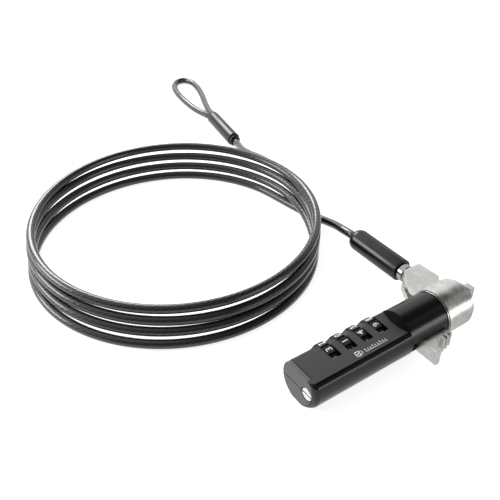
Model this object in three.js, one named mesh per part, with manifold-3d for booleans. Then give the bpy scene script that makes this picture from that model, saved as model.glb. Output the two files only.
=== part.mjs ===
// Laptop cable lock: four-dial combination head, swivelling collar with a fork
// lug, T-bar nose, and a coiled steel cable with a loop at its far end.
// Millimetres, +Z up. +X runs along the lock's axis from the end cap to the
// T-bar, +Y is the dial side. Z = 0 is the surface the lock lies on.
import * as THREE from 'three';
import * as BufferGeometryUtils from 'three/addons/utils/BufferGeometryUtils.js';
import Module from 'manifold-3d';

// ---------------------------------------------------------------- dimensions
const AXIS_Z = 10.2;          // height of the lock's axis
const BODY_R = 9.7;           // round housing
const BODY_END = 67.3;        // housing length, end cap face at 0
const CAP_T = 1.8;            // end cap plate
const FLAT_TOP = 16.0;        // height of the flat dial face
const FLAT_BOTTOM = 1.2;      // height of the flat underside
const FLAT_END = 48.0;        // where the flats end
const COLLAR_R = 10.2;        // swivel collar
const COLLAR_X0 = 68.5, COLLAR_X1 = 82.1;
const WHEEL_X = [16.8, 24.7, 32.6, 40.5];
const WHEEL_Y = 5.1, WHEEL_Z = 9.05;  // wheel shaft
const WHEEL_R = 7.2;          // over the corners of the ten facets
const WHEEL_SHOULDER_R = 6.4;
const BAY_X0 = 10.9, BAY_X1 = 42.8; // bay that holds the four wheels
const WHEEL_PHASE = Math.PI / 18; // the facet being read leans towards the front
const NOTCH = [0.95, 0.6];    // groove between two facets, width and depth
const WHEEL_NECK = 5.6, WHEEL_BAND = 2.0; // neck towards the end cap, and half the numbered band
const WHEEL_BORE = 3.6;
const SLEEVE_OUT = 3.3, SLEEVE_IN = 1.8, SPINDLE_R = 1.5;
const WINDOW_HALF = 2.3, WINDOW_FRONT_Y = -1.0;
const TONGUE_END = 5.4;       // back end of the strips between the windows
const TOP_FRONT_R = 2.6, TOP_BACK_R = 1.6, BOTTOM_R = 1.2; // long edges of the flats
const NEAR_CORNER_R = 2.1;    // rounded corner between the end and the front side
const CAP_INSET = 2.4;        // end cap's front edge, in from the housing's side
const SHOULDER_X = 46.0;      // start of the cone up to the round part
const SCREW_Y = -4.25, SCREW_Z = 9.1, SCREW_R = 2.75;
const BORE_R = 7.4;           // bore for the head bushing
const CARRIAGE_R = 4.9;
const LUG_PIN = [78.3, 17.3]; // pin of the fork lug
const FORK_Z = [5.4, 8.6, 11.8, 15.0];
const CABLE_SLEEVE_R = 5.1, CABLE_SLEEVE_Y0 = 27.0, CABLE_SLEEVE_Y1 = 58.0;
const CORD_D = 4.0;
const COIL_C = [15.84, 117.16]; // centre of the top turn
const COIL_R = 68.0;
const TURNS = 4;
const LEAN = [-0.4133, -0.5959]; // sideways step per mm of height going down
const FERRULE_R = 3.9;
const ORIGIN = [45.7, 20.15, 0]; // centre of the lock's own footprint

// ------------------------------------------------------------------- helpers
const wasm = await Module();
wasm.setup();
const { Manifold, Mesh: MMesh } = wasm;

function solid(geometry) {
  let g = geometry.clone();
  g.deleteAttribute('normal');
  g.deleteAttribute('uv');
  g = BufferGeometryUtils.mergeVertices(g, 1e-4);
  return new Manifold(new MMesh({
    numProp: 3,
    vertProperties: new Float32Array(g.attributes.position.array),
    triVerts: new Uint32Array(g.index.array),
  }));
}
function geometryOf(m) {
  const r = m.getMesh();
  const g = new THREE.BufferGeometry();
  g.setAttribute('position', new THREE.BufferAttribute(new Float32Array(r.vertProperties), 3));
  g.setIndex(new THREE.BufferAttribute(new Uint32Array(r.triVerts), 1));
  g.computeVertexNormals();
  return g;
}
const cut = (a, ...rest) => rest.reduce((s, b) => s.subtract(b), a);
const join = (a, ...rest) => rest.reduce((s, b) => s.add(b), a);

function boxG(x0, x1, y0, y1, z0, z1) {
  return new THREE.BoxGeometry(x1 - x0, y1 - y0, z1 - z0).translate((x0 + x1) / 2, (y0 + y1) / 2, (z0 + z1) / 2);
}
// cylinder along X; a vertex of the polygon points straight down
function cylX(r, x0, x1, y, z, seg = 40) {
  return new THREE.CylinderGeometry(r, r, x1 - x0, seg).rotateZ(-Math.PI / 2).translate((x0 + x1) / 2, y, z);
}
function cylZ(r, z0, z1, x, y, seg = 24) {
  return new THREE.CylinderGeometry(r, r, z1 - z0, seg).rotateX(Math.PI / 2).translate(x, y, (z0 + z1) / 2);
}
function cylY(r, y0, y1, x, z, seg = 24) {
  return new THREE.CylinderGeometry(r, r, y1 - y0, seg).translate(x, (y0 + y1) / 2, z);
}
// profile of [axial, radius] pairs turned about a line along X
function latheX(pairs, y, z, seg = 40, phase = 0) {
  return new THREE.LatheGeometry(pairs.map(([a, r]) => new THREE.Vector2(r, a)), seg)
    .rotateY(phase).rotateZ(-Math.PI / 2).translate(0, y, z);
}
function latheY(pairs, x, z, seg = 28) {
  return new THREE.LatheGeometry(pairs.map(([a, r]) => new THREE.Vector2(r, a)), seg).translate(x, 0, z);
}
// plan outline in X, Y raised from z0 to z1
function plan(points, z0, z1) {
  const s = new THREE.Shape(points.map(([x, y]) => new THREE.Vector2(x, y)));
  return new THREE.ExtrudeGeometry(s, { depth: z1 - z0, bevelEnabled: false }).translate(0, 0, z0);
}
// outline of the round bar with its two flats, all four long edges rounded, in Y and Z
function flattedOutline() {
  const pts = [];
  const at = (cy, cz, r, a0, a1, n) => { for (let i = 0; i <= n; i++) { const a = a0 + (a1 - a0) * i / n; pts.push([cy + r * Math.cos(a), cz + r * Math.sin(a)]); } };
  const fillet = (r, h, side) => { const y = side * Math.sqrt((BODY_R - r) ** 2 - (Math.abs(h) - r) ** 2), z = Math.sign(h) * (Math.abs(h) - r); return [y, AXIS_Z + z, Math.atan2(z, y)]; };
  const top = FLAT_TOP - AXIS_Z, bottom = FLAT_BOTTOM - AXIS_Z, q = Math.PI / 2;
  const tb = fillet(TOP_BACK_R, top, 1), tf = fillet(TOP_FRONT_R, top, -1), bf = fillet(BOTTOM_R, bottom, -1), bb = fillet(BOTTOM_R, bottom, 1);
  at(tb[0], tb[1], TOP_BACK_R, tb[2], q, 5);
  at(tf[0], tf[1], TOP_FRONT_R, q, tf[2], 7);
  at(0, AXIS_Z, BODY_R, tf[2] + 0.09, bf[2] + 2 * Math.PI - 0.09, 18);
  at(bf[0], bf[1], BOTTOM_R, bf[2] + 2 * Math.PI, 3 * q, 4);
  at(bb[0], bb[1], BOTTOM_R, 3 * q, bb[2] + 2 * Math.PI, 4);
  at(0, AXIS_Z, BODY_R, bb[2] + 2 * Math.PI + 0.09, tb[2] + 2 * Math.PI - 0.09, 18);
  return pts;
}
// the same outline with its front half moved in by an inset
const insetOutline = (inset) => flattedOutline().map(([y, z]) => [y < 0 ? y + inset : y + inset * Math.max(0, 1 - y / 3), z]);
// outline in Y, Z carried along X
function profileX(points, x0, x1) {
  const s = new THREE.Shape(points.map(([y, z]) => new THREE.Vector2(y, z)));
  const g = new THREE.ExtrudeGeometry(s, { depth: x1 - x0, bevelEnabled: false });
  // shape X, Y, depth become Y, Z, X
  return g.applyMatrix4(new THREE.Matrix4().set(0, 0, 1, x0, 1, 0, 0, 0, 0, 1, 0, 0, 0, 0, 0, 1));
}
const flatted = (x0, x1, inset = 0) => profileX(insetOutline(inset), x0, x1);
function sectionCircle(r, seg) {
  const pts = [];
  for (let i = 0; i < seg; i++) pts.push(new THREE.Vector2(r * Math.cos(2 * Math.PI * i / seg), r * Math.sin(2 * Math.PI * i / seg)));
  return new THREE.Shape(pts);
}
function tube(points, r, seg, steps) {
  const curve = new THREE.CatmullRomCurve3(points.map((p) => new THREE.Vector3(...p)), false, 'centripetal');
  return new THREE.ExtrudeGeometry(sectionCircle(r, seg), { steps, bevelEnabled: false, extrudePath: curve });
}

const group = new THREE.Group();
group.position.set(-ORIGIN[0], -ORIGIN[1], -ORIGIN[2]);
function piece(name, geometry, color, roughness, metalness) {
  const m = new THREE.Mesh(geometry, new THREE.MeshStandardMaterial({ color, roughness, metalness }));
  m.name = name;
  group.add(m);
  return m;
}
const BLACK = 0x141415, GREY = 0x6d6e70, NICKEL = 0xc9c8c0, STEEL = 0xa8a9ac, BRASS = 0xb59a55, JACKET = 0x1d1e20;

// ------------------------------------------------------------------- housing
{
  const corner = [];
  for (let i = 0; i <= 6; i++) {
    const a = Math.PI / 2 * i / 6, r = NEAR_CORNER_R;
    for (const [y, z] of insetOutline(r * (1 - Math.sin(a)))) corner.push([r * (1 - Math.cos(a)), y, z]);
  }
  for (const [y, z] of flattedOutline()) corner.push([FLAT_END + 0.05, y, z]);
  let s = join(Manifold.hull(corner),
    solid(latheX([[SHOULDER_X, 0], [SHOULDER_X, 5.3], [FLAT_END, BODY_R + 0.01], [BODY_END, BODY_R + 0.01], [BODY_END, 0]], 0, AXIS_Z, 56)));
  // seat of the end cap, its front wall following the housing's side
  {
    const front = insetOutline(CAP_INSET - 0.25).slice(6, 38);
    const seat = [[14, 24], [front[0][0], 24], ...front, [front[front.length - 1][0], -2], [14, -2]];
    s = cut(s, solid(profileX(seat, -1, CAP_T + 0.3)));
  }
  // bay for the four wheels, open along the back
  s = cut(s, solid(cylX(WHEEL_SHOULDER_R + 0.2, BAY_X0, BAY_X1, WHEEL_Y, WHEEL_Z, 44)));
  s = cut(s, solid(boxG(BAY_X0, BAY_X1, 9.0, 14, 3.2, 14.2)));
  for (const x of WHEEL_X) {
    s = cut(s, solid(cylX(WHEEL_R + 0.25, x - WINDOW_HALF, x + WINDOW_HALF, WHEEL_Y, WHEEL_Z, 40)));
    s = cut(s, solid(plan([[x - WINDOW_HALF, WINDOW_FRONT_Y], [x + WINDOW_HALF, WINDOW_FRONT_Y], [x + WINDOW_HALF, TONGUE_END + 0.3],
      [x - WINDOW_HALF, TONGUE_END + 0.3]], 9.5, 20)));
  }
  // the whole back of the bay is open, with a rounded end to each strip between the windows
  {
    const outline = [[BAY_X0, 14], [BAY_X0, TONGUE_END + 1.2], [BAY_X0 + 0.9, TONGUE_END + 0.2]];
    for (const x of WHEEL_X) outline.push([x - WINDOW_HALF - 0.5, TONGUE_END], [x - WINDOW_HALF, TONGUE_END - 0.6], [x + WINDOW_HALF, TONGUE_END - 0.6], [x + WINDOW_HALF + 0.5, TONGUE_END]);
    outline.pop();
    outline.push([BAY_X1, TONGUE_END + 0.2], [BAY_X1, 14]);
    s = cut(s, solid(plan(outline, 9.5, 20)));
  }
  // pocket for the detent plate
  s = cut(s, solid(boxG(BAY_X0, BAY_X1, -4.2, -1.0, 6.0, 11.6)));
  // spring chamber, spindle hole, screw bore
  s = cut(s, solid(cylX(3.4, 0, 9.6, WHEEL_Y, WHEEL_Z, 24)));
  s = cut(s, solid(cylX(1.9, 9, 47, WHEEL_Y, WHEEL_Z, 20)));
  s = cut(s, solid(cylX(SCREW_R + 0.3, 0, 8.2, SCREW_Y, SCREW_Z, 28)));
  // carriage bore and the slot for its arm, bushing bore, lever slot
  s = cut(s, solid(cylX(CARRIAGE_R + 0.4, 46.3, 60, 0, AXIS_Z, 36)), solid(boxG(46.3, 56.0, 0, 7.3, 7.0, 11.1)), solid(cylX(BORE_R, 56.0, 70, 0, AXIS_Z, 36)));
  s = cut(s, solid(boxG(48.4, 66.2, -12, -4.0, 3.4, 11.2)));
  // hole for the bushing pin, in from the underside
  s = cut(s, solid(cylZ(1.15, -2, 6, 62, 0, 16)));
  piece('body_shell', geometryOf(s), BLACK, 0.25, 0.3);
}
// end cap: plate with the housing's own outline, a hole for the code screw and a shallow line across it
{
  let s = solid(flatted(0, CAP_T, CAP_INSET));
  s = cut(s, solid(cylX(SCREW_R + 0.25, -1, 6, SCREW_Y, SCREW_Z, 28)));
  s = cut(s, solid(boxG(-1, 0.3, -12, 12, SCREW_Z - 0.2, SCREW_Z + 0.2)));
  piece('end_cap', geometryOf(s), GREY, 0.45, 0.6);
}
// code-change screw with its slot
{
  let s = solid(latheX([[0.1, 0], [0.1, SCREW_R - 0.2], [0.35, SCREW_R], [4.5, SCREW_R], [4.5, 2.1], [7.6, 2.1], [7.6, 0]], SCREW_Y, SCREW_Z, 28));
  s = cut(s, solid(boxG(-1, 1.6, SCREW_Y - 4, SCREW_Y + 4, SCREW_Z - 0.38, SCREW_Z + 0.38)));
  piece('code_screw', geometryOf(s), 0xe4e4e0, 0.3, 0.9);
}
// number wheels, ten facets each, and the code sleeves inside them
WHEEL_X.forEach((x, i) => {
  const h = WHEEL_NECK, b = WHEEL_BAND, f = Math.PI / 10, n = WHEEL_SHOULDER_R;
  const outer = latheX([[x - h, 0], [x - h, n - 0.9], [x - h + 0.4, n - 0.3], [x - h + 1.0, n], [x - b - 0.1, n], [x - b + 0.25, WHEEL_R], [x + b - 0.25, WHEEL_R], [x + b, WHEEL_R - 0.4], [x + b, 0]],
    0, 0, 10, 0).rotateX(f + WHEEL_PHASE).translate(0, WHEEL_Y, WHEEL_Z);
  let s = cut(solid(outer), solid(cylX(WHEEL_BORE, x - 9, x + 9, WHEEL_Y, WHEEL_Z, 24)));
  for (let k = 0; k < 10; k++) {
    const g = boxG(x - b - 0.05, x + 3, -NOTCH[0] / 2, NOTCH[0] / 2, WHEEL_R - NOTCH[1], WHEEL_R + 1).rotateX(WHEEL_PHASE + f + 2 * f * k).translate(0, WHEEL_Y, WHEEL_Z);
    s = cut(s, solid(g));
  }
  piece(`dial_${i + 1}`, geometryOf(s), BLACK, 0.4, 0.1);
  const t = cut(solid(cylX(SLEEVE_OUT, x - 5.5, x + 1.9, WHEEL_Y, WHEEL_Z, 24)),
    solid(cylX(SLEEVE_IN, x - 9, x + 9, WHEEL_Y, WHEEL_Z, 20)),
    solid(boxG(x - 9, x + 9, WHEEL_Y - 0.6, WHEEL_Y + 0.6, WHEEL_Z, WHEEL_Z + 2.5)));
  piece(`dial_sleeve_${i + 1}`, geometryOf(t), BRASS, 0.4, 0.9);
});
// spindle with its spring flange
{
  const s = join(solid(cylX(SPINDLE_R, 6.4, 50.3, WHEEL_Y, WHEEL_Z, 16)), solid(cylX(2.9, 8.3, 9.2, WHEEL_Y, WHEEL_Z, 16)));
  piece('spindle', geometryOf(s), STEEL, 0.35, 1);
}
// return spring round the spindle's tail
{
  const pts = [], turns = 4, n = 80, x0 = 2.6, x1 = 7.9;
  for (let i = 0; i <= n; i++) {
    const a = 2 * Math.PI * turns * i / n;
    pts.push(new THREE.Vector3(x0 + (x1 - x0) * i / n, WHEEL_Y + 2.5 * Math.cos(a), WHEEL_Z + 2.5 * Math.sin(a)));
  }
  const g = new THREE.ExtrudeGeometry(sectionCircle(0.2, 6), { steps: n, bevelEnabled: false, extrudePath: new THREE.CatmullRomCurve3(pts) });
  piece('spindle_spring', g, STEEL, 0.3, 1);
}
// detent plate: a leaf with four fingers, one against each wheel
{
  let s = solid(boxG(11.2, 42.5, -3.9, -3.4, 6.4, 11.2));
  for (const x of [18.95, 26.85, 34.75]) s = cut(s, solid(boxG(x - 0.5, x + 0.5, -6, 0, 7.6, 14)));
  piece('detent_plate', geometryOf(s), STEEL, 0.35, 1);
}
// head bushing: fixed in the housing, the collar turns on it
{
  let s = cut(solid(cylX(7.1, 56.4, 82.1, 0, AXIS_Z, 36)), solid(cylX(4.2, 50, 90, 0, AXIS_Z, 28)));
  s = cut(s, solid(cylZ(1.15, -4, 7, 62, 0, 16)), solid(cylY(1.15, -12, 12, 64.5, AXIS_Z, 16)));
  piece('head_bushing', geometryOf(s), STEEL, 0.4, 1);
}
piece('bushing_pin', cylZ(0.85, 0.8, 5.8, 62, 0, 14), STEEL, 0.35, 1);
piece('swivel_washer', geometryOf(cut(solid(cylX(COLLAR_R - 0.1, 67.6, 68.2, 0, AXIS_Z, 48)), solid(cylX(7.45, 60, 70, 0, AXIS_Z, 32)))), NICKEL, 0.3, 1);
// swivel collar with its fork lug
{
  let s = solid(latheX([[COLLAR_X0, 0], [COLLAR_X0, COLLAR_R], [COLLAR_X1 - 0.9, COLLAR_R], [COLLAR_X1 - 0.25, COLLAR_R - 0.3], [COLLAR_X1, COLLAR_R - 1.0], [COLLAR_X1, 0]], 0, AXIS_Z, 48));
  const lug = plan([[COLLAR_X0, 4], [82.0, 4], [82.0, 9.6], [84.0, 11.4], [83.4, 21.6], [82.4, 22.6], [74.6, 22.6], [73.4, 21.8], [COLLAR_X0, 13.0]], FORK_Z[0], FORK_Z[3]);
  s = join(s, solid(lug));
  s = cut(s, solid(boxG(60, 90, 10.6, 30, FORK_Z[1], FORK_Z[2])));
  s = cut(s, solid(cylX(7.4, 60, 90, 0, AXIS_Z, 36)));
  s = cut(s, solid(cylZ(1.95, 0, FORK_Z[3] - 0.9, LUG_PIN[0], LUG_PIN[1], 20)));
  piece('swivel_collar', geometryOf(s), NICKEL, 0.32, 1);
}
piece('lug_pin', cylZ(1.65, FORK_Z[0] + 0.2, FORK_Z[3] - 1.2, LUG_PIN[0], LUG_PIN[1], 20), NICKEL, 0.3, 1);
// nose plate: the face that meets the laptop
{
  let s = cut(solid(latheX([[82.4, 0], [82.4, 8.9], [83.7, 8.9], [84.3, 8.3], [84.3, 0]], 0, AXIS_Z, 40)),
    solid(boxG(80, 90, -3.7, 3.7, AXIS_Z - 2.2, AXIS_Z + 2.2)));
  piece('nose_plate', geometryOf(s), NICKEL, 0.3, 1);
}
// T-bar: fixed shank and cross head
{
  let s = join(solid(boxG(61.0, 89.0, -1.2, 1.2, AXIS_Z - 1.3, AXIS_Z + 1.3)), solid(boxG(88.6, 91.4, -2.0, 2.0, AXIS_Z - 3.4, AXIS_Z + 4.1)));
  s = cut(s, solid(cylY(0.95, -5, 5, 64.5, AXIS_Z, 14)));
  piece('t_bar', geometryOf(s), NICKEL, 0.35, 1);
}
// blocking prongs either side of the shank, carried by the lever
piece('prong_left', boxG(56.2, 88.2, 1.6, 3.3, AXIS_Z - 1.7, AXIS_Z + 1.7), NICKEL, 0.35, 1);
piece('prong_right', boxG(56.2, 88.2, -3.3, -1.6, AXIS_Z - 1.7, AXIS_Z + 1.7), NICKEL, 0.35, 1);
{
  // the arm reaches out to the end of the spindle
  const s = cut(join(solid(cylX(CARRIAGE_R, 50.6, 55.9, 0, AXIS_Z, 32)), solid(boxG(50.6, 52.6, 1, 7.0, 7.3, 10.8))), solid(boxG(52.8, 58, -1.3, 1.3, 0, 20)));
  piece('lever_carriage', geometryOf(s), STEEL, 0.4, 1);
}
piece('t_bar_pin', cylY(0.65, -1.25, 1.25, 64.5, AXIS_Z, 12), STEEL, 0.35, 1);
// release lever: thumb tab, waisted bar and three grip ribs
{
  const outline = [[53.2, -5.2], [55.2, -5.2], [55.2, -7.9], [65.4, -7.9], [65.4, -9.9], [66.3, -9.9], [66.3, -13.1], [65.3, -13.1],
    [65.3, -11.4], [64.1, -11.4], [64.1, -13.7], [62.9, -13.7], [62.9, -11.6], [61.7, -11.6], [61.7, -14.1], [60.5, -14.1],
    [60.1, -12.3], [59.3, -12.0], [57.9, -12.9], [56.6, -14.2], [55.6, -17.4], [55.3, -17.7], [53.5, -17.7], [53.2, -17.4]];
  const s = solid(plan([...outline], 3.8, 10.8));
  piece('release_lever', geometryOf(s), NICKEL, 0.32, 1);
}
// cable fitting: flat tongue in the fork, neck, and a stem inside the sleeve
{
  const [px, py] = LUG_PIN, cz = AXIS_Z;
  let s = join(solid(boxG(px - 2.9, px + 2.9, py, 24.4, cz - 1.3, cz + 1.3)), solid(cylZ(2.9, cz - 1.3, cz + 1.3, px, py, 28)));
  s = cut(s, solid(cylZ(1.95, 0, 20, px, py, 20)));
  s = join(s, solid(cylY(3.9, 24.0, 26.7, px, cz, 28)), solid(cylY(2.6, 26.0, 33, px, cz, 24)));
  piece('cable_fitting', geometryOf(s), NICKEL, 0.25, 1);
  const R = CABLE_SLEEVE_R, a = CABLE_SLEEVE_Y0, b = CABLE_SLEEVE_Y1;
  const t = latheY([[a, 2.9], [a, R - 0.15], [a + 0.3, R], [b - 3.4, R], [b - 1.9, R - 0.35], [b - 0.8, R - 1.1], [b - 0.15, 3.2], [b, 2.6], [b - 0.6, 2.3], [33.6, 2.3], [33.3, 2.9], [a, 2.9]], px, cz, 28);
  piece('cable_sleeve', t, BLACK, 0.2, 0);
}
// ---------------------------------------------------------------------- cord
const R0 = CORD_D / 2;
const low = R0 + (TURNS - 1) * CORD_D; // height of the top turn's centre
const bottomC = [COIL_C[0] + LEAN[0] * (low - R0), COIL_C[1] + LEAN[1] * (low - R0)];
{
  // closed ring round all turns, leaning as the stack leans
  const z0 = 0, z1 = low + R0;
  const ring = new THREE.LatheGeometry([
    new THREE.Vector2(COIL_R - R0, z0), new THREE.Vector2(COIL_R + R0, z0), new THREE.Vector2(COIL_R + R0, z1),
    new THREE.Vector2(COIL_R - R0, z1), new THREE.Vector2(COIL_R - R0, z0)], 56).rotateX(Math.PI / 2);
  const p = ring.attributes.position;
  const kx = (COIL_C[0] - bottomC[0]) / (low - R0), ky = (COIL_C[1] - bottomC[1]) / (low - R0);
  for (let i = 0; i < p.count; i++) {
    const z = p.getZ(i);
    p.setXYZ(i, p.getX(i) + COIL_C[0] + kx * (z - low), p.getY(i) + COIL_C[1] + ky * (z - low), z);
  }
  piece('cord_coil', ring, JACKET, 0.3, 0);
}
// lock-side tail: out of the sleeve, down to the floor, along to the bottom turn
piece('cord_tail_lock', tube([[78.3, CABLE_SLEEVE_Y1 + 0.3, AXIS_Z], [78.5, 64, 9.6], [80.2, 73, 7.6], [82.0, 84, 4.6], [82.9, 94, 2.8], [83.0, 101.5, R0 + 0.1]], R0, 8, 7), JACKET, 0.3, 0);
// loop-side tail: from the top turn down to the ferrule
piece('cord_tail_loop', tube([[86.3, 139.0, 12.6], [86.6, 149, 10.6], [88.3, 162, 6.9], [90.6, 174, FERRULE_R + 0.3], [91.3, 177.9, FERRULE_R + 0.1]], R0, 8, 7), JACKET, 0.3, 0);
// ferrule and eye of the loop
const FER_A = [91.4, 178.5], FER_B = [98.2, 216.4];
{
  const d = [FER_B[0] - FER_A[0], FER_B[1] - FER_A[1]], L = Math.hypot(...d), ang = Math.atan2(d[1], d[0]);
  const g = latheX([[0, 0], [0, 2.9], [0.8, FERRULE_R - 0.3], [1.6, FERRULE_R], [L - 5, FERRULE_R], [L - 2.2, FERRULE_R - 0.5], [L, 2.6], [L, 0]], 0, 0, 24)
    .rotateZ(ang).translate(FER_A[0], FER_A[1], FERRULE_R);
  piece('loop_ferrule', g, BLACK, 0.25, 0);
}
piece('loop_eye', tube([[97.1, 217.0, 3.4], [97.0, 223, 2.6], [96.4, 235, R0], [97.4, 250, R0], [99.6, 263, R0], [103.2, 272.5, R0], [108.6, 277.6, R0],
  [113.8, 277.6, R0], [116.4, 272.5, R0], [115.6, 263, R0], [112.0, 251, R0], [106.4, 237, R0], [101.6, 224, 2.6], [100.0, 216.9, 3.4]], R0, 8, 44), JACKET, 0.3, 0);

export default group;
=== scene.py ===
import bpy, bmesh, math
from mathutils import Vector, Matrix


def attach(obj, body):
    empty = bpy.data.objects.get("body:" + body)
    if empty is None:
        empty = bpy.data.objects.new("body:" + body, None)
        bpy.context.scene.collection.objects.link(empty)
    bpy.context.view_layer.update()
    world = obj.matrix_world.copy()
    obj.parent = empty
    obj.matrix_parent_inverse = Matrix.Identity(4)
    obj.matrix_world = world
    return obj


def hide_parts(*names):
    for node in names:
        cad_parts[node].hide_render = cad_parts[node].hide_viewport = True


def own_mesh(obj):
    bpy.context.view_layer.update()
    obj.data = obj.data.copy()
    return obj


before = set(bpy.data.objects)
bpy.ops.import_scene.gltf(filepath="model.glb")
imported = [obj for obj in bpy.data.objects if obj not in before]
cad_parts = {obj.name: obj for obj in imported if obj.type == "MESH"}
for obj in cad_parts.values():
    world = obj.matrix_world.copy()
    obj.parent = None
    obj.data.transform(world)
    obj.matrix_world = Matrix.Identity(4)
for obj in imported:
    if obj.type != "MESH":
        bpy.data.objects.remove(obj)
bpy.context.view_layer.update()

MM = 0.001
OX, OY = 45.7, 20.15


def L(x, y, z):
    """Millimetres along the lock from its end cap, across it and above the surface."""
    return Vector(((x - OX) * MM, (y - OY) * MM, z * MM))


scene = bpy.context.scene
coll = scene.collection

# ------------------------------------------------------------------ camera
PSI, EL, DIST = math.radians(34.74), math.radians(36.89), 335.1
U0, V0 = 17.88, -95.56
ax = Vector((math.cos(PSI), math.sin(PSI), 0)); bx = Vector((-math.sin(PSI), math.cos(PSI), 0))


def to_lock(p, point=True):
    d = p - Vector((U0, V0, 0)) if point else p
    return Vector((d.dot(ax), d.dot(bx), d.z))


c, s = math.cos(EL), math.sin(EL)
cam_p = to_lock(Vector((0, -DIST * c, DIST * s)))
right, up, fwd = (to_lock(Vector(v), False) for v in ((1, 0, 0), (0, s, c), (0, c, -s)))
cam_data = bpy.data.cameras.new("camera"); cam = bpy.data.objects.new("camera", cam_data); coll.objects.link(cam)
rot = Matrix((right, up, -fwd)).transposed().to_4x4()
cam.matrix_world = Matrix.Translation(L(*cam_p)) @ rot
cam_data.sensor_width = 36; cam_data.lens = 50; cam_data.clip_start = 0.01; cam_data.clip_end = 20
scene.camera = cam


# ---------------------------------------------------------------- materials
class Mat:
    def __init__(self, name, base, rough, metal=0.0, **k):
        m = bpy.data.materials.new(name); m.use_nodes = True
        self.m, self.t = m, m.node_tree
        self.b = self.t.nodes["Principled BSDF"]
        self.b.inputs["Base Color"].default_value = (*base, 1)
        self.b.inputs["Roughness"].default_value = rough
        self.b.inputs["Metallic"].default_value = metal
        for n, v in k.items():
            self.b.inputs[n.replace("_", " ")].default_value = v
        self.base = base

    def node(self, kind, **k):
        n = self.t.nodes.new(kind)
        for a, v in k.items():
            setattr(n, a, v)
        return n

    def link(self, a, b):
        self.t.links.new(a, b)

    def coord(self, kind="Object", scale=(1, 1, 1)):
        c = self.node("ShaderNodeTexCoord"); mp = self.node("ShaderNodeMapping")
        mp.inputs["Scale"].default_value = scale
        self.link(c.outputs[kind], mp.inputs["Vector"])
        return mp.outputs["Vector"]

    def noise(self, vec, scale, detail=3.0, rough=0.5):
        n = self.node("ShaderNodeTexNoise")
        n.inputs["Scale"].default_value = scale; n.inputs["Detail"].default_value = detail; n.inputs["Roughness"].default_value = rough
        self.link(vec, n.inputs["Vector"])
        return n.outputs["Fac"]

    def remap(self, fac, a, b, lo=0.3, hi=0.7):
        r = self.node("ShaderNodeMapRange")
        r.inputs["From Min"].default_value = lo; r.inputs["From Max"].default_value = hi
        r.inputs["To Min"].default_value = a; r.inputs["To Max"].default_value = b
        self.link(fac, r.inputs["Value"])
        return r.outputs["Result"]

    def ramp(self, fac, stops):
        r = self.node("ShaderNodeValToRGB"); e = r.color_ramp.elements
        while len(e) < len(stops):
            e.new(0.5)
        for i, (p, col) in enumerate(stops):
            e[i].position = p; e[i].color = (*col, 1)
        self.link(fac, r.inputs["Fac"])
        return r.outputs["Color"]

    def bump(self, height, dist, strength=1.0, normal=None):
        n = self.node("ShaderNodeBump"); n.inputs["Distance"].default_value = dist; n.inputs["Strength"].default_value = strength
        self.link(height, n.inputs["Height"])
        if normal is not None:
            self.link(normal, n.inputs["Normal"])
        return n.outputs["Normal"]

    def math(self, op, a, b=None):
        n = self.node("ShaderNodeMath", operation=op)
        for i, v in enumerate((a, b)):
            if v is None:
                continue
            if isinstance(v, (int, float)):
                n.inputs[i].default_value = v
            else:
                self.link(v, n.inputs[i])
        return n.outputs[0]


def coated(name, base, rough, grain=900, depth=0.00002, spread=0.06, **k):
    """Painted or moulded surface: fine grain, uneven gloss, faint handling marks."""
    m = Mat(name, base, rough, **k)
    v = m.coord()
    f = m.noise(v, grain, 4)
    g = m.noise(v, 60, 5, 0.6)
    m.link(m.remap(g, rough - spread, rough + spread), m.b.inputs["Roughness"])
    b = tuple(x * 1.35 for x in base)
    m.link(m.ramp(g, [(0.35, base), (0.7, b)]), m.b.inputs["Base Color"])
    m.link(m.bump(f, depth, 0.6), m.b.inputs["Normal"])
    return m.m


def metal(name, base, rough, grain=260, depth=0.00004, spread=0.08, stretch=(1, 1, 1), mottle=0.25):
    m = Mat(name, base, rough, 1.0)
    v = m.coord(scale=stretch)
    f = m.noise(v, grain * 4, 5, 0.6); g = m.noise(v, grain, 4, 0.6); w = m.noise(m.coord(), 45, 3)
    m.link(m.remap(g, rough - spread, rough + spread, 0.35, 0.65), m.b.inputs["Roughness"])
    dark = tuple(x * (1 - mottle) for x in base)
    mix = m.math("ADD", m.math("MULTIPLY", g, 0.6), m.math("MULTIPLY", w, 0.4))
    m.link(m.ramp(mix, [(0.36, dark), (0.6, base)]), m.b.inputs["Base Color"])
    n1 = m.bump(g, depth, 0.6)
    m.link(m.bump(f, depth * 0.4, 0.6, n1), m.b.inputs["Normal"])
    return m.m


# Painted shade: a duller black with little gloss, laid on the grooves between the numeral facets and in the cut near
# the lever so that they read as shadowed.
M_PAINTED_SHADE = coated("recess_painted_shade", (0.002, 0.002, 0.0022), 0.7, Specular_IOR_Level=0.12)
M_BLACK = coated("housing_gloss", (0.003, 0.003, 0.0033), 0.2, depth=0.00001, Specular_IOR_Level=0.42)
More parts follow.
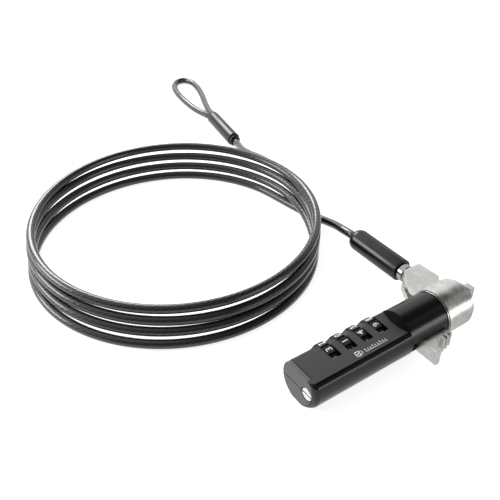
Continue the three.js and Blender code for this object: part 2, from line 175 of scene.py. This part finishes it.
# Satin coat of the flat top; the same lighter coat is also laid on the upward rounding along the back edge as a painted
# highlight band.
M_TOP_SATIN_HIGHLIGHT = coated("housing_satin_and_highlight", (0.03, 0.03, 0.031), 0.52, grain=1500, depth=0.00003)
M_CAP = coated("cap_satin", (0.115, 0.115, 0.118), 0.45, grain=1800, depth=0.00003, Metallic=0.3)
M_NICKEL = metal("nickel", (0.74, 0.73, 0.7), 0.3, mottle=0.3)
M_INNER = metal("inner_steel", (0.42, 0.42, 0.44), 0.35)
M_BRASS = metal("brass", (0.6, 0.46, 0.2), 0.35)
M_CHROME = metal("bright_fitting", (0.42, 0.42, 0.41), 0.16, spread=0.03, mottle=0.1, depth=0.00001)
M_SCREW = metal("bright_screw", (0.8, 0.8, 0.78), 0.3, spread=0.05, mottle=0.06, depth=0.00001)
M_SLEEVE = coated("sleeve_gloss", (0.0035, 0.0035, 0.004), 0.27, grain=500, depth=0.00001, spread=0.04)
M_PRINT = coated("printed_white", (0.82, 0.82, 0.8), 0.5, grain=1200)


def dial_material():
    m = Mat("dial_black", (0.012, 0.012, 0.013), 0.42)
    v = m.coord()
    w = m.node("ShaderNodeTexWave", wave_type="BANDS", bands_direction="X"); w.inputs["Scale"].default_value = 340; w.inputs["Distortion"].default_value = 0.4
    m.link(v, w.inputs["Vector"])
    n = m.noise(v, 700, 3)
    m.link(m.remap(n, 0.34, 0.5), m.b.inputs["Roughness"])
    m.link(m.ramp(n, [(0.3, (0.008, 0.008, 0.009)), (0.7, (0.02, 0.02, 0.021))]), m.b.inputs["Base Color"])
    m.link(m.bump(w.outputs["Fac"], 0.00006, 0.5), m.b.inputs["Normal"])
    return m.m


M_DIAL = dial_material()


def cord_material(name, light):
    """Twisted dark wire strands seen through a clear, smoky, glossy jacket."""
    m = Mat(name, (0.02, 0.02, 0.022), 0.2, Coat_Weight=0.6)
    m.b.inputs["Coat Roughness"].default_value = 0.08
    uv = m.node("ShaderNodeTexCoord").outputs["UV"]
    sep = m.node("ShaderNodeSeparateXYZ"); m.link(uv, sep.inputs[0])
    u, v = sep.outputs[0], sep.outputs[1]
    ph = m.math("ADD", m.math("MULTIPLY", u, 9.0), m.math("MULTIPLY", v, 330.0))   # strands: u once round, v in metres
    st = m.math("ABSOLUTE", m.math("SINE", m.math("MULTIPLY", ph, math.pi)))
    ph2 = m.math("SUBTRACT", m.math("MULTIPLY", u, 27.0), m.math("MULTIPLY", v, 900.0))   # single wires, laid the other way
    wi = m.math("ABSOLUTE", m.math("SINE", m.math("MULTIPLY", ph2, math.pi)))
    h = m.math("ADD", m.math("MULTIPLY", st, 0.75), m.math("MULTIPLY", wi, 0.25))
    col = m.ramp(h, [(0.2, (0.0012, 0.0012, 0.0013)), (0.68, (0.005 * light, 0.005 * light, 0.0053 * light)), (0.96, (0.03 * light, 0.03 * light, 0.031 * light))])
    m.link(col, m.b.inputs["Base Color"])
    m.link(m.remap(h, 0.42, 0.2, 0.0, 1.0), m.b.inputs["Roughness"])
    n = m.noise(m.coord(), 120, 2)
    hh = m.math("ADD", h, m.math("MULTIPLY", n, 0.3))
    m.link(m.bump(hh, 0.00012, 0.55), m.b.inputs["Normal"])
    return m.m


M_CORD = cord_material("cord_jacket", 1.0)
# The loop's eye is the same cable; its strand colours are painted 2.2 times lighter as painted light.
M_LOOP_LIT = cord_material("cord_jacket_loop_lit", 2.2)


# ------------------------------------------------------------------ helpers
def catmull(pts, step):
    """Centripetal-like dense resampling of a smooth curve through pts (Vectors, metres)."""
    pts = [Vector(p) for p in pts]
    P = [pts[0] * 2 - pts[1]] + pts + [pts[-1] * 2 - pts[-2]]
    out = []
    for i in range(1, len(P) - 2):
        p0, p1, p2, p3 = P[i - 1], P[i], P[i + 1], P[i + 2]
        t0 = 0.0; t1 = t0 + max((p1 - p0).length, 1e-9) ** 0.5; t2 = t1 + max((p2 - p1).length, 1e-9) ** 0.5; t3 = t2 + max((p3 - p2).length, 1e-9) ** 0.5
        n = max(2, int((p2 - p1).length / step))
        for k in range(n):
            t = t1 + (t2 - t1) * k / n
            a1 = p0 * ((t1 - t) / (t1 - t0)) + p1 * ((t - t0) / (t1 - t0))
            a2 = p1 * ((t2 - t) / (t2 - t1)) + p2 * ((t - t1) / (t2 - t1))
            a3 = p2 * ((t3 - t) / (t3 - t2)) + p3 * ((t - t2) / (t3 - t2))
            b1 = a1 * ((t2 - t) / (t2 - t0)) + a2 * ((t - t0) / (t2 - t0))
            b2 = a2 * ((t3 - t) / (t3 - t1)) + a3 * ((t - t1) / (t3 - t1))
            out.append(b1 * ((t2 - t) / (t2 - t1)) + b2 * ((t - t1) / (t2 - t1)))
    out.append(pts[-1].copy())
    return out


def resample(pts, step):
    d = [0.0]
    for a, b in zip(pts, pts[1:]):
        d.append(d[-1] + (b - a).length)
    n = max(2, round(d[-1] / step)); out = []; j = 0
    for i in range(n + 1):
        x = d[-1] * i / n
        while j < len(d) - 2 and d[j + 1] < x:
            j += 1
        f = (x - d[j]) / max(d[j + 1] - d[j], 1e-12)
        out.append(pts[j].lerp(pts[j + 1], min(max(f, 0), 1)))
    return out, d[-1]


def tube(name, pts, radius, sides, mat):
    """Closed tube with parallel-transported rings; UV u runs once round, v is the length in metres."""
    bm = bmesh.new(); uvl = bm.loops.layers.uv.new("UVMap")
    t = [(pts[min(i + 1, len(pts) - 1)] - pts[max(i - 1, 0)]).normalized() for i in range(len(pts))]
    n = t[0].orthogonal().normalized(); rings = []; dist = [0.0]
    for i, p in enumerate(pts):
        if i:
            n = (n - t[i] * n.dot(t[i])).normalized(); dist.append(dist[-1] + (p - pts[i - 1]).length)
        b = t[i].cross(n)
        r = radius(dist[-1]) if callable(radius) else radius
        rings.append([bm.verts.new(p + (n * math.cos(2 * math.pi * k / sides) + b * math.sin(2 * math.pi * k / sides)) * r) for k in range(sides)])
    for i in range(len(rings) - 1):
        for k in range(sides):
            k2 = (k + 1) % sides
            f = bm.faces.new((rings[i][k], rings[i][k2], rings[i + 1][k2], rings[i + 1][k])); f.smooth = True
            for lp, (uu, vv) in zip(f.loops, ((k, i), (k + 1, i), (k + 1, i + 1), (k, i + 1))):
                lp[uvl].uv = (uu / sides, dist[vv])
    bm.faces.new(list(reversed(rings[0]))); bm.faces.new(rings[-1])
    bmesh.ops.recalc_face_normals(bm, faces=bm.faces)
    me = bpy.data.meshes.new(name); bm.to_mesh(me); bm.free(); me.materials.append(mat)
    ob = bpy.data.objects.new(name, me); coll.objects.link(ob)
    return ob


def refine(node, body, mat, bevel=0.18, seg=2, angle=32, top=None, name=None, keep=35):
    """The CAD shape with its flat facets merged, its edges rounded over and smooth shading."""
    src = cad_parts[node]
    me = src.data.copy(); me.materials.clear(); me.materials.append(mat)
    bm = bmesh.new(); bm.from_mesh(me)
    bmesh.ops.remove_doubles(bm, verts=bm.verts, dist=2e-6)
    bmesh.ops.dissolve_limit(bm, angle_limit=math.radians(0.8), verts=bm.verts, edges=bm.edges)
    bmesh.ops.recalc_face_normals(bm, faces=bm.faces)
    bm.to_mesh(me); bm.free()
    ob = bpy.data.objects.new(name or node + "_fine", me); coll.objects.link(ob)
    if bevel:
        md = ob.modifiers.new("edges", "BEVEL"); md.width = bevel * MM; md.segments = seg; md.limit_method = "ANGLE"
        md.angle_limit = math.radians(angle); md.use_clamp_overlap = True; md.miter_outer = "MITER_ARC"
        dg = bpy.context.evaluated_depsgraph_get(); me2 = bpy.data.meshes.new_from_object(ob.evaluated_get(dg)); ob.modifiers.clear(); ob.data = me2; me = me2
    me.polygons.foreach_set("use_smooth", [True] * len(me.polygons)); me.set_sharp_from_angle(angle=math.radians(keep))
    if bevel:
        md = ob.modifiers.new("weighted", "WEIGHTED_NORMAL"); md.weight = 70; md.keep_sharp = True
        dg = bpy.context.evaluated_depsgraph_get(); me3 = bpy.data.meshes.new_from_object(ob.evaluated_get(dg)); ob.modifiers.clear(); ob.data = me3; me = me3
    if top:
        for k in range(0, len(top), 2):
            me.materials.append(top[k])
            for p in me.polygons:
                if top[k + 1](p):
                    p.material_index = len(me.materials) - 1
    me.update()
    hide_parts(node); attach(ob, body)
    return ob


# --------------------------------------------------------------------- cord
D = 4.0
R_CORD = 2.05 * MM
# turns from the lowest to the top one: radius, and how far its centre lies towards the viewer's side
TURNS = [(66.6, 9.4), (66.9, 6.1), (67.7, 3.1), (68.0, 0.0)]
TOP_C = (15.84, 117.16)
LEAN = (-math.sin(PSI), -math.cos(PSI))


def turn_state(sdeg):
    """Radius, shift and height where the winding has turned sdeg from its start; the step up comes at the end of each turn."""
    k = min(int(sdeg // 360), 3); f = sdeg - 360 * k
    w = 0.0
    if k < 3 and f > 300:
        x = (f - 300) / 60; w = x * x * (3 - 2 * x)
    a, b = TURNS[k], TURNS[min(k + 1, 3)]
    return a[0] + (b[0] - a[0]) * w, a[1] + (b[1] - a[1]) * w, (D / 2 + D * (k + w))


def coil_point(sdeg, phi0):
    r, sh, z = turn_state(sdeg)
    p = math.radians(phi0 + sdeg)
    wob = 0.25 * math.sin(2 * p + sdeg / 220.0) + 0.12 * math.sin(3 * p - sdeg / 150.0)
    return L(TOP_C[0] + LEAN[0] * sh + (r + wob) * math.cos(p), TOP_C[1] + LEAN[1] * sh + (r + wob) * math.sin(p), z)


PHI0 = 8.0
route = [L(78.3, 58.3, 10.2), L(78.4, 61.5, 9.95), L(79.0, 67, 8.9), L(80.2, 74, 7.1), L(80.6, 84, 4.5), L(79.6, 96, 2.5), L(78.3, 107, 2.0)]
coil = [coil_point(x, PHI0) for x in [i * 8.0 for i in range(0, int(4 * 360 / 8) + 1)]]
# the last turn leaves to the loop
exit_pts = [L(82.9, 131.5, 13.6), L(83.0, 142, 12.2), L(84.0, 152, 9.6), L(86.6, 163.5, 6.4), L(89.8, 172.5, 4.3), L(91.3, 178.1, 3.9), L(93.0, 187.5, 3.9), L(94.8, 197.5, 3.9), L(96.5, 207.0, 3.9), L(98.1, 215.8, 3.9)]
raw = catmull(route + coil[1:] + exit_pts, 0.0008)
path, cord_len = resample(raw, 0.0011)
cord = tube("cable", path, R_CORD, 28, M_CORD)
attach(cord, "cable")
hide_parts("cord_coil", "cord_tail_lock", "cord_tail_loop")

# loop: formed eye and its ferrule
eye_pts = [(97.1, 217.0, 3.4), (97.0, 223, 2.6), (96.4, 235, 2.0), (97.4, 250, 2.0), (99.6, 263, 2.0), (103.2, 272.5, 2.0), (108.6, 277.6, 2.0),
           (113.8, 277.6, 2.0), (116.4, 272.5, 2.0), (115.6, 263, 2.0), (112.0, 251, 2.0), (106.4, 237, 2.0), (101.6, 224, 2.6), (100.0, 216.9, 3.4)]
ep, _ = resample(catmull([L(*p) for p in eye_pts], 0.0006), 0.001)
eye = tube("loop_eye_fine", ep, 2.0 * MM, 24, M_LOOP_LIT)
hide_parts("loop_eye"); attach(eye, "cable")


def lathe(name, origin, direction, profile, seg, mat, closed=False):
    """profile: (along, radius) in mm, turned about a line from origin along direction."""
    d = direction.normalized(); n = d.orthogonal().normalized(); b = d.cross(n)
    bm = bmesh.new(); rings = []
    for a, r in profile:
        p = origin + d * a * MM
        rings.append([bm.verts.new(p)] if r <= 0 else [bm.verts.new(p + (n * math.cos(2 * math.pi * k / seg) + b * math.sin(2 * math.pi * k / seg)) * r * MM) for k in range(seg)])
    pairs = list(zip(rings, rings[1:])) + ([(rings[-1], rings[0])] if closed else [])
    for A, B in pairs:
        for k in range(seg):
            k2 = (k + 1) % seg
            v = [A[k % len(A)], A[k2 % len(A)], B[k2 % len(B)], B[k % len(B)]]
            u = []
            for x in v:
                if x not in u:
                    u.append(x)
            if len(u) > 2:
                bm.faces.new(u)
    bmesh.ops.recalc_face_normals(bm, faces=bm.faces)
    me = bpy.data.meshes.new(name); bm.to_mesh(me); bm.free(); me.materials.append(mat)
    me.polygons.foreach_set("use_smooth", [True] * len(me.polygons)); me.set_sharp_from_angle(angle=math.radians(38))
    ob = bpy.data.objects.new(name, me); coll.objects.link(ob)
    return ob


def arc(a0, r0, a1, r1, n=6, convex=True):
    """Quarter-ellipse from (a0, r0) to (a1, r1)."""
    out = []
    for i in range(n + 1):
        t = math.pi / 2 * i / n
        if convex:
            out.append((a0 + (a1 - a0) * math.sin(t), r1 + (r0 - r1) * math.cos(t)))
        else:
            out.append((a0 + (a1 - a0) * (1 - math.cos(t)), r0 + (r1 - r0) * math.sin(t)))
    return out


fa, fb = L(91.4, 178.5, 3.9), L(98.2, 216.4, 3.9); fl = (fb - fa).length / MM
ferrule = lathe("loop_ferrule_fine", fa, fb - fa,
                [(0.0, 2.3), (0.0, 2.7)] + arc(0.0, 2.7, 0.9, 3.3, 4, False) + [(1.0, 3.35), (1.25, 3.05), (2.1, 3.05), (2.35, 3.5)] + arc(2.35, 3.5, 3.1, 3.9, 4, False)
                + [(fl * 0.5, 3.9)] + arc(fl - 5.5, 3.9, fl - 0.2, 2.6, 8) + [(fl, 2.3), (fl - 0.6, 2.12), (0.6, 2.12)], 56, M_SLEEVE, closed=True)
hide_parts("loop_ferrule"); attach(ferrule, "cable")

sleeve = lathe("cable_sleeve_fine", L(78.3, 0, 10.2), Vector((0, 1, 0)),
               [(27.0, 3.2), (27.0, 4.7)] + arc(27.0, 4.7, 27.45, 5.1, 4, False) + [(40, 5.12), (54.2, 5.1)] + arc(54.2, 5.1, 57.7, 3.0, 10) + [(58.0, 2.7), (58.0, 2.15), (57.0, 2.12), (33.6, 2.12), (33.3, 3.0)], 72, M_SLEEVE, closed=True)
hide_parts("cable_sleeve"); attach(sleeve, "cable")

# --------------------------------------------------------------------- lock
FLAT_TOP = 16.0
# Material overrides: the flat top and the upward rounding along the back edge take the satin coat, which on the
# rounding is a painted highlight; the faces towards the end cap in the cut near the lever take the painted-shade black.
top_satin_slot_shade = (M_TOP_SATIN_HIGHLIGHT, lambda p: (p.normal.z > 0.985 and abs(p.center.z - FLAT_TOP * MM) < 0.0002) or (p.normal.z > 0.72 and p.center.z > (FLAT_TOP - 1.3) * MM and p.center.y > (7.0 - OY) * MM and p.center.x < (46 - OX) * MM and abs(p.normal.x) < 0.05),
           M_PAINTED_SHADE, lambda p: p.normal.x < -0.4 and (45.5 - OX) * MM < p.center.x < (48.2 - OX) * MM and p.center.z > 0.0125)
refine("body_shell", "lock", M_BLACK, 0.35, 3, top=top_satin_slot_shade)
refine("end_cap", "lock", M_CAP, 0.12, 2)
refine("code_screw", "screw", M_SCREW, 0.1, 2)
refine("swivel_collar", "collar", M_NICKEL, 0.35, 3)
refine("swivel_washer", "collar", M_CHROME, 0.12, 2)
refine("lug_pin", "collar", M_NICKEL, 0.12, 2)
refine("nose_plate", "lock", M_NICKEL, 0.15, 2)
refine("t_bar", "lock", M_NICKEL, 0.3, 3)
refine("prong_left", "slider", M_NICKEL, 0.3, 3)
refine("prong_right", "slider", M_NICKEL, 0.3, 3)
refine("release_lever", "slider", M_NICKEL, 0.35, 3)
refine("cable_fitting", "cable", M_CHROME, 0.25, 3)
for n, b in (("head_bushing", "lock"), ("bushing_pin", "lock"), ("t_bar_pin", "lock"), ("detent_plate", "lock"), ("lever_carriage", "slider"), ("spindle", "slider"), ("spindle_spring", "slider")):
    refine(n, b, M_INNER, 0.08 if n != "spindle_spring" else 0, 2)
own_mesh(bpy.data.objects["spindle_spring_fine"])   # the spring shortens as the lever is drawn back
for i in range(1, 5):
    wx = (16.8, 24.7, 32.6, 40.5)[i - 1]
    # the grooves between the numeral facets take the painted-shade black
    groove_shade = (M_PAINTED_SHADE, lambda p, wx=wx: abs(p.center.x / MM + OX - wx) < 1.95 and 6.45 < math.hypot(p.center.y / MM + OY - 5.1, p.center.z / MM - 9.05) < 6.79)
    refine(f"dial_{i}", f"dial_{i}", M_DIAL, 0.12, 2, angle=20, keep=25, top=groove_shade)
    refine(f"dial_sleeve_{i}", f"dial_{i}", M_BRASS, 0.1, 2)

# numerals, one on each facet
WHEEL_X = [16.8, 24.7, 32.6, 40.5]; WY, WZ = 5.1, 9.05
FACET = 7.2 * math.cos(math.pi / 10); PHASE = -10.0


def glyph(name, text, size, mat, thick=0.05):
    cu = bpy.data.curves.new(name, "FONT"); cu.body = text; cu.size = size * MM; cu.extrude = thick * MM / 2; cu.align_x = "CENTER"; cu.align_y = "CENTER"; cu.resolution_u = 3
    cu.offset = 0.00004
    ob = bpy.data.objects.new(name + "_c", cu); coll.objects.link(ob)
    dg = bpy.context.evaluated_depsgraph_get(); me = bpy.data.meshes.new_from_object(ob.evaluated_get(dg))
    bpy.data.objects.remove(ob); me.name = name; me.materials.clear(); me.materials.append(mat)
    # centre on its own box
    xs = [v.co.x for v in me.vertices]; ys = [v.co.y for v in me.vertices]
    me.transform(Matrix.Translation((-(min(xs) + max(xs)) / 2, -(min(ys) + max(ys)) / 2, 0)))
    return me


# read with the end cap upwards; the numbers fall by one per facet towards the back
for i, top_digit in enumerate((3, 1, 4, 9)):
    bm = bmesh.new()
    for j in range(10):
        digit = (top_digit - j) % 10
        ang = math.radians(36 * j + PHASE)  # towards the back
        me = glyph(f"numeral_{i}_{j}", str(digit), 4.1, M_PRINT)
        xs = [v.co.x for v in me.vertices]; ys = [v.co.y for v in me.vertices]
        sc = 2.75 * MM / (max(ys) - min(ys)); me.transform(Matrix.Diagonal((sc, sc, 1, 1)))
        rt = Vector((0, math.cos(ang), -math.sin(ang))); nrm = Vector((0, math.sin(ang), math.cos(ang))); up_dir = Vector((-1, 0, 0))
        m4 = Matrix((rt, up_dir, nrm)).transposed().to_4x4(); m4.translation = L(WHEEL_X[i], WY, WZ) + nrm * (FACET + 0.01) * MM
        me.transform(m4); bm.from_mesh(me); bpy.data.meshes.remove(me)
    me = bpy.data.meshes.new(f"numerals_{i + 1}"); bm.to_mesh(me); bm.free(); me.materials.append(M_PRINT)
    ob = bpy.data.objects.new(f"numerals_{i + 1}", me); coll.objects.link(ob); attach(ob, f"dial_{i + 1}")


# printed mark on the flat face: a small padlock outline and a fine double line, in thin white ink
def ribbon(bm, pts, width, closed=False):
    """Flat strip along pts (x, y) on the flat face, as thin closed bars end to end."""
    seg = list(zip(pts, pts[1:])) + ([(pts[-1], pts[0])] if closed else [])
    for (x0, y0), (x1, y1) in seg:
        d = Vector((x1 - x0, y1 - y0, 0)); n = d.length
        if n < 1e-6:
            continue
        bmesh.ops.create_cube(bm, size=1.0, matrix=Matrix.Translation(L((x0 + x1) / 2, (y0 + y1) / 2, 16.02)) @ Matrix.Rotation(math.atan2(d.y, d.x), 4, "Z") @ Matrix.Diagonal(((n + width * 0.5) * MM, width * MM, 0.04 * MM, 1)))


bm = bmesh.new()
mx, my = 24.2, -4.3
ribbon(bm, [(mx - 1.2, my - 1.1), (mx + 0.6, my - 1.1), (mx + 0.6, my + 1.1), (mx - 1.2, my + 1.1)], 0.3, True)
ribbon(bm, [(mx + 0.6, my - 0.75), (mx + 1.3, my - 0.75), (mx + 1.75, my - 0.5), (mx + 1.95, my), (mx + 1.75, my + 0.5), (mx + 1.3, my + 0.75), (mx + 0.6, my + 0.75)], 0.26)
ribbon(bm, [(mx - 0.5, my), (mx - 0.1, my)], 0.5)
for k in range(9):
    x = 27.6 + k * 1.25
    ribbon(bm, [(x, my - 0.35), (x, my + (0.75 if k % 3 == 0 else 0.35))], 0.24)
ribbon(bm, [(27.2, my - 0.8), (38.2, my - 0.8)], 0.16)
me = bpy.data.meshes.new("top_mark"); bm.to_mesh(me); bm.free(); me.materials.append(M_PRINT)
ob = bpy.data.objects.new("top_mark", me); coll.objects.link(ob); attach(ob, "lock")

# ------------------------------------------------------------- floor, light
bm = bmesh.new(); bmesh.ops.create_grid(bm, x_segments=8, y_segments=8, size=3.0)
me = bpy.data.meshes.new("floor"); bm.to_mesh(me); bm.free()
fl_m = Mat("floor_pale", (0.8, 0.8, 0.8), 0.7, Specular_IOR_Level=0.1); me.materials.append(fl_m.m)
# the sweep glows: white under the object, and brighter on the left than on the right in reflections
lp = fl_m.node("ShaderNodeLightPath")
sep = fl_m.node("ShaderNodeSeparateXYZ"); fl_m.link(fl_m.node("ShaderNodeTexCoord").outputs["Object"], sep.inputs[0])
across = fl_m.math("SUBTRACT", fl_m.math("MULTIPLY", sep.outputs[0], math.cos(PSI)), fl_m.math("MULTIPLY", sep.outputs[1], math.sin(PSI)))
card = fl_m.remap(across, 0.95, 0.0, -0.02, 0.12)
# a long bright card low on the right, which shows only in gloss
away = L(40, -9, 0); dx, dy = 0.4626, -0.8866
run = fl_m.math("ADD", fl_m.math("MULTIPLY", sep.outputs[0], dx), fl_m.math("MULTIPLY", sep.outputs[1], dy))
low_card = fl_m.math("MULTIPLY", fl_m.remap(run, 0.0, 1.1, away.x * dx + away.y * dy + 0.06, away.x * dx + away.y * dy + 0.16), lp.outputs["Is Glossy Ray"])
card = fl_m.math("ADD", fl_m.math("MULTIPLY", card, lp.outputs["Is Glossy Ray"]), low_card)
glow = fl_m.node("ShaderNodeMix"); glow.data_type = "FLOAT"
fl_m.link(lp.outputs["Is Camera Ray"], glow.inputs[0]); fl_m.link(card, glow.inputs[2]); glow.inputs[3].default_value = 0.82
tint = fl_m.node("ShaderNodeMix"); tint.data_type = "RGBA"
fl_m.link(lp.outputs["Is Camera Ray"], tint.inputs[0]); tint.inputs[6].default_value = (0.3, 0.3, 0.3, 1); tint.inputs[7].default_value = (0.8, 0.8, 0.8, 1)
fl_m.link(tint.outputs[2], fl_m.b.inputs["Base Color"])
fl_m.b.inputs["Emission Color"].default_value = (1, 1, 1, 1)
fl_m.link(glow.outputs[0], fl_m.b.inputs["Emission Strength"])
floor = bpy.data.objects.new("floor", me); floor.location = (0, 0, -0.0001); coll.objects.link(floor)

w = bpy.data.worlds.new("world"); scene.world = w; w.use_nodes = True
nt = w.node_tree; bg = nt.nodes["Background"]; bg.inputs[0].default_value = (1, 1, 1, 1)
tc = nt.nodes.new("ShaderNodeTexCoord"); dot = nt.nodes.new("ShaderNodeVectorMath"); dot.operation = "DOT_PRODUCT"
# bright behind and to the left of the object, dim towards the viewer
aim = (to_lock(Vector((-0.45, 0.8, 0.25)), False)).normalized()
dot.inputs[1].default_value = aim
nt.links.new(tc.outputs["Generated"], dot.inputs[0])
mr = nt.nodes.new("ShaderNodeMapRange"); mr.inputs["From Min"].default_value = -0.35; mr.inputs["From Max"].default_value = 0.75; mr.inputs["To Min"].default_value = 0.16; mr.inputs["To Max"].default_value = 1.05
nt.links.new(dot.outputs["Value"], mr.inputs["Value"]); # a dark patch high overhead
dz = nt.nodes.new("ShaderNodeVectorMath"); dz.operation = "DOT_PRODUCT"; dz.inputs[1].default_value = Vector((0.456, 0.02, 0.89)).normalized()
nt.links.new(tc.outputs["Generated"], dz.inputs[0])
mz = nt.nodes.new("ShaderNodeMapRange"); mz.interpolation_type = "SMOOTHSTEP"; mz.inputs["From Min"].default_value = 0.86; mz.inputs["From Max"].default_value = 0.975; mz.inputs["To Min"].default_value = 1.0; mz.inputs["To Max"].default_value = 0.06
nt.links.new(dz.outputs["Value"], mz.inputs["Value"])
mm = nt.nodes.new("ShaderNodeMath"); mm.operation = "MULTIPLY"
nt.links.new(mr.outputs["Result"], mm.inputs[0]); nt.links.new(mz.outputs["Result"], mm.inputs[1]); nt.links.new(mm.outputs[0], bg.inputs[1])
centre = L(30, 110, 0)


def area(name, loc, size, power, sx=None, target=centre):
    d = bpy.data.lights.new(name, "AREA"); d.shape = "RECTANGLE"; d.size = size; d.size_y = sx or size; d.energy = power
    o = bpy.data.objects.new(name, d); o.location = loc; coll.objects.link(o)
    o.rotation_euler = (Vector(target) - Vector(loc)).to_track_quat("-Z", "Y").to_euler()
    return o


def world_dir(x, y, z):
    """A place given as right, away and up from the view, in metres, about the middle of the object."""
    v = to_lock(Vector((x, y, z)), False)
    return centre + v


area("back_over", world_dir(-0.35, 0.75, 0.6), 0.5, 5, 0.3)
area("left_soft", world_dir(-0.9, 0.05, 0.4), 0.5, 4.5, 0.35)
area("right_strip", world_dir(0.82, -0.44, 0.14), 0.6, 1.6, 0.24)
scene.view_settings.view_transform = "Standard"; scene.view_settings.look = "None"; scene.view_settings.exposure = 0.0
